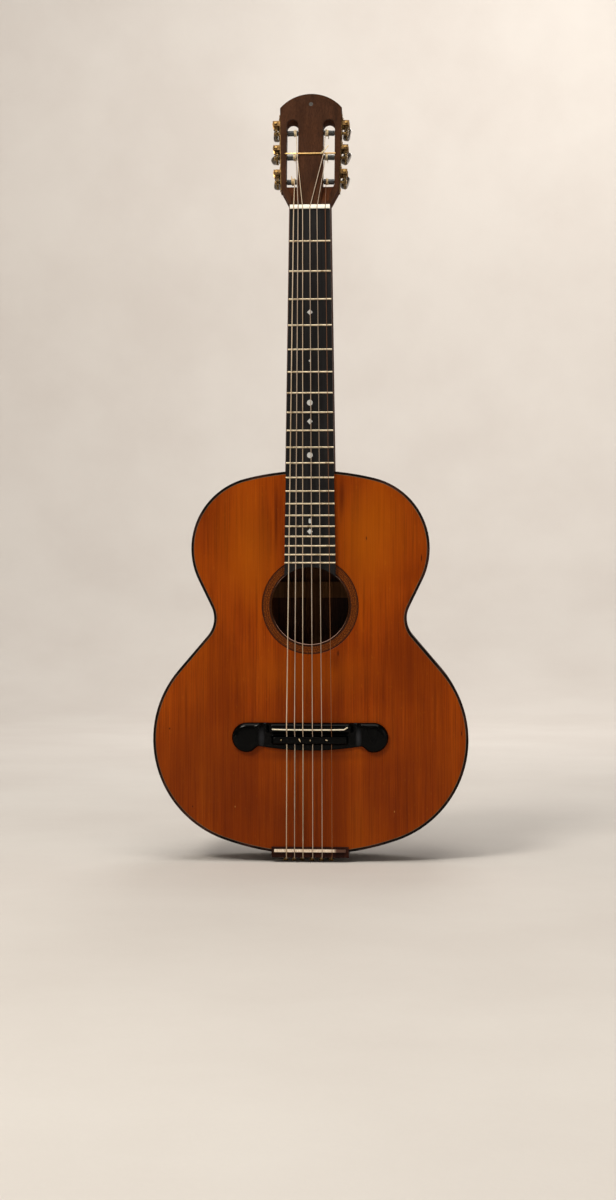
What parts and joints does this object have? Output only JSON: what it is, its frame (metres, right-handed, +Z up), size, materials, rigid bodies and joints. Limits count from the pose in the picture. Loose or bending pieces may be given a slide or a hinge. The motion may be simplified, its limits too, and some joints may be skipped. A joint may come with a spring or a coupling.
{
  "type": "acoustic guitar",
  "caption": "Small-bodied wooden acoustic guitar with a slotted head, geared tuning machines, round soundhole, low bridge and strings tied at the tail.",
  "frame": {"origin": "on the centre line where the plane of the soundboard meets the front edge of the nut, between the prongs of a wall hanger", "axes": "+Z up along the neck towards the head, the front faces -Y, +X is the side of the thin strings"},
  "size_m": [0.3844, 0.1139, 0.941],
  "materials": {
    "spruce": "satin aged varnish",
    "rosewood": "satin",
    "cedar": "satin",
    "ebony": "polished",
    "bone": "polished bone",
    "fret_wire": "worn",
    "pearl": "mother of pearl",
    "brass": "aged",
    "black_roller": "dark horn",
    "button": "horn",
    "gut": "gut"
  },
  "bodies": {
    "guitar": {"front_binding": "ebony", "back_binding": "ebony", "back_plate": "rosewood", "neck_block": "cedar", "front_lining": "cedar", "back_lining": "cedar", "soundboard": "spruce", "rosette": "rosewood", "soundboard_braces": "spruce", "back_braces": "spruce", "fingerboard": "ebony", "frets": "fret_wire", "inlays": "pearl", "headplate": "rosewood", "headstock": "cedar", "head_crossbar": "brass", "neck": "cedar", "heel_cap": "ebony", "nut": "bone", "bridge": "ebony", "saddle": "bone", "hitch_pins": "brass", "tail_plate": "rosewood", "tail_saddle": "bone", "rib_bass": "rosewood", "rib_treble": "rosewood", "tail_block": "cedar", "tuner_plate_bass": "brass", "tuner_plate_treble": "brass", "tuner_screws": "brass", "string_1": "gut", "string_2": "gut", "string_3": "gut", "string_4": "gut", "string_5": "gut", "string_6": "gut"},
    "knob_1": {"tuner_worm_1": "brass", "tuner_button_1": "button"},
    "roller_1": {"tuner_roller_1": "black_roller", "tuner_gear_1": "brass"},
    "knob_2": {"tuner_worm_2": "brass", "tuner_button_2": "button"},
    "roller_2": {"tuner_roller_2": "black_roller", "tuner_gear_2": "brass"},
    "knob_3": {"tuner_worm_3": "brass", "tuner_button_3": "button"},
    "roller_3": {"tuner_roller_3": "black_roller", "tuner_gear_3": "brass"},
    "knob_4": {"tuner_worm_4": "brass", "tuner_button_4": "button"},
    "roller_4": {"tuner_roller_4": "black_roller", "tuner_gear_4": "brass"},
    "knob_5": {"tuner_worm_5": "brass", "tuner_button_5": "button"},
    "roller_5": {"tuner_roller_5": "black_roller", "tuner_gear_5": "brass"},
    "knob_6": {"tuner_worm_6": "brass", "tuner_button_6": "button"},
    "roller_6": {"tuner_roller_6": "black_roller", "tuner_gear_6": "brass"}
  },
  "joints": [
    {"name": "knob_1_turn", "type": "hinge", "parent": "guitar", "child": "knob_1", "pos_m": [-0.04156, 0.01313, 0.04632], "axis": [0, 0.9816, -0.1908], "continuous": true},
    {"name": "roller_1_turn", "type": "hinge", "parent": "guitar", "child": "roller_1", "pos_m": [-0.04125, 0.01103, 0.03552], "axis": [0.9996, 0.0054, 0.028], "continuous": true},
    {"name": "knob_2_turn", "type": "hinge", "parent": "guitar", "child": "knob_2", "pos_m": [-0.04247, 0.01919, 0.07752], "axis": [0, 0.9816, -0.1908], "continuous": true},
    {"name": "roller_2_turn", "type": "hinge", "parent": "guitar", "child": "roller_2", "pos_m": [-0.04216, 0.01709, 0.06673], "axis": [0.9996, 0.0054, 0.028], "continuous": true},
    {"name": "knob_3_turn", "type": "hinge", "parent": "guitar", "child": "knob_3", "pos_m": [-0.04338, 0.02526, 0.10872], "axis": [0, 0.9816, -0.1908], "continuous": true},
    {"name": "roller_3_turn", "type": "hinge", "parent": "guitar", "child": "roller_3", "pos_m": [-0.04307, 0.02316, 0.09793], "axis": [0.9996, 0.0054, 0.028], "continuous": true},
    {"name": "knob_4_turn", "type": "hinge", "parent": "guitar", "child": "knob_4", "pos_m": [0.04338, 0.02526, 0.10872], "axis": [0, 0.9816, -0.1908], "continuous": true},
    {"name": "roller_4_turn", "type": "hinge", "parent": "guitar", "child": "roller_4", "pos_m": [0.04307, 0.02316, 0.09793], "axis": [0.9996, -0.0054, -0.028], "continuous": true},
    {"name": "knob_5_turn", "type": "hinge", "parent": "guitar", "child": "knob_5", "pos_m": [0.04247, 0.01919, 0.07752], "axis": [0, 0.9816, -0.1908], "continuous": true},
    {"name": "roller_5_turn", "type": "hinge", "parent": "guitar", "child": "roller_5", "pos_m": [0.04216, 0.01709, 0.06673], "axis": [0.9996, -0.0054, -0.028], "continuous": true},
    {"name": "knob_6_turn", "type": "hinge", "parent": "guitar", "child": "knob_6", "pos_m": [0.04156, 0.01313, 0.04632], "axis": [0, 0.9816, -0.1908], "continuous": true},
    {"name": "roller_6_turn", "type": "hinge", "parent": "guitar", "child": "roller_6", "pos_m": [0.04125, 0.01103, 0.03552], "axis": [0.9996, -0.0054, -0.028], "continuous": true}
  ],
  "couplings": [
    {"joint": "roller_1_turn", "follows": "knob_1_turn", "ratio": 0.0625},
    {"joint": "roller_2_turn", "follows": "knob_2_turn", "ratio": 0.0625},
    {"joint": "roller_3_turn", "follows": "knob_3_turn", "ratio": 0.0625},
    {"joint": "roller_4_turn", "follows": "knob_4_turn", "ratio": 0.0625},
    {"joint": "roller_5_turn", "follows": "knob_5_turn", "ratio": 0.0625},
    {"joint": "roller_6_turn", "follows": "knob_6_turn", "ratio": 0.0625}
  ]
}
